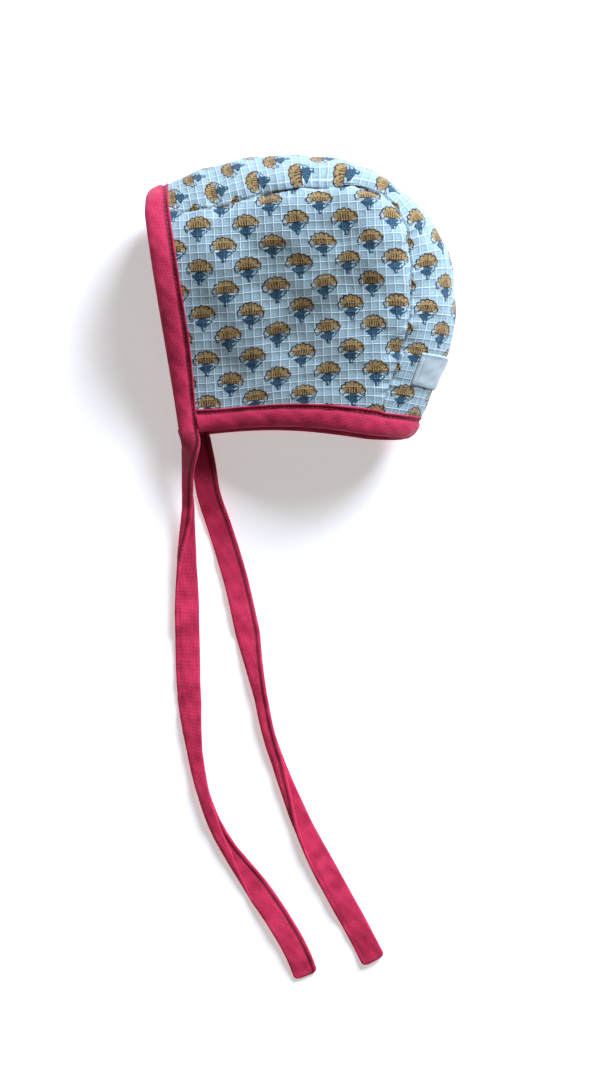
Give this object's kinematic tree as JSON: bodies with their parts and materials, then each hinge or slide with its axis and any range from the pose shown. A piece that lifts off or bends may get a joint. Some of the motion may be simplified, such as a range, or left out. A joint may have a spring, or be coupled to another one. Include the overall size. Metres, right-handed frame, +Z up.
{
  "type": "baby bonnet",
  "caption": "Three-panel cotton baby bonnet with bound face and neck edges and two long flat ties, lying on its side.",
  "frame": {"origin": "middle of the bonnet's footprint on the surface it lies on, the ties left out", "axes": "+Z up from the surface, towards the wearer's left side; -X through the face opening; +Y to the crown of the head; the ties run towards -Y"},
  "size_m": [0.1548, 0.4181, 0.0616],
  "materials": {
    "printed_cotton": "pale blue cotton with a fine raised check and a small block-printed flower",
    "binding_cotton": "crimson cotton bias binding, plain weave, edge stitched",
    "tie_cotton": "crimson cotton bias tape, folded and edge stitched",
    "label_tape": "bare white woven tape"
  },
  "bodies": {
    "root": {"side_panel_left": "printed_cotton", "side_panel_right": "printed_cotton", "crown_strip": "printed_cotton", "face_binding": "binding_cotton", "neck_binding": "binding_cotton", "tie_left": "tie_cotton", "tie_right": "tie_cotton", "side_label": "label_tape"}
  },
  "joints": []
}
